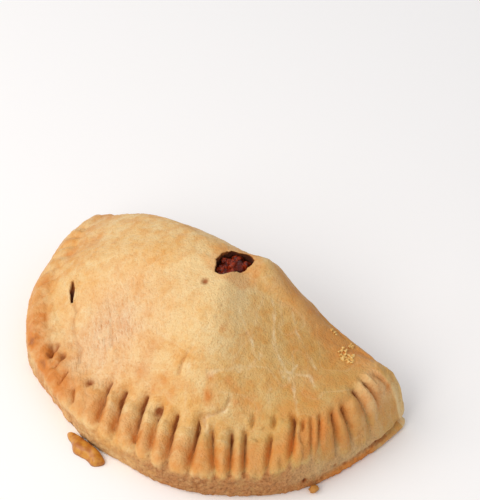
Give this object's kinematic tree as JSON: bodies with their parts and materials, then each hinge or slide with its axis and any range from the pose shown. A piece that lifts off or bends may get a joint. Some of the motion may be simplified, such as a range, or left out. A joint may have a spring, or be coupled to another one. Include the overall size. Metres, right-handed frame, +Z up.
{
  "type": "meat pie",
  "caption": "Half-moon hand pie: golden pastry folded over a meat filling and sealed with fork crimps along the curved edge, its crown burst open.",
  "frame": {"origin": "middle of the bounding box's foot, on the flat underside the pie lies on", "axes": "+X runs along the folded side towards the blunt right corner, -Y points to the fork-crimped curved edge, +Z is up"},
  "size_m": [0.1404, 0.0844, 0.0457],
  "materials": {
    "crust": "baked shortcrust, satin from a thin egg wash",
    "meat_filling": "dark cooked meat with glossy reduced gravy",
    "baked_drip": "baked egg wash, slightly glossy"
  },
  "bodies": {
    "root": {"crust": "crust", "meat_filling": "meat_filling", "baked_drip": "baked_drip"}
  },
  "joints": []
}
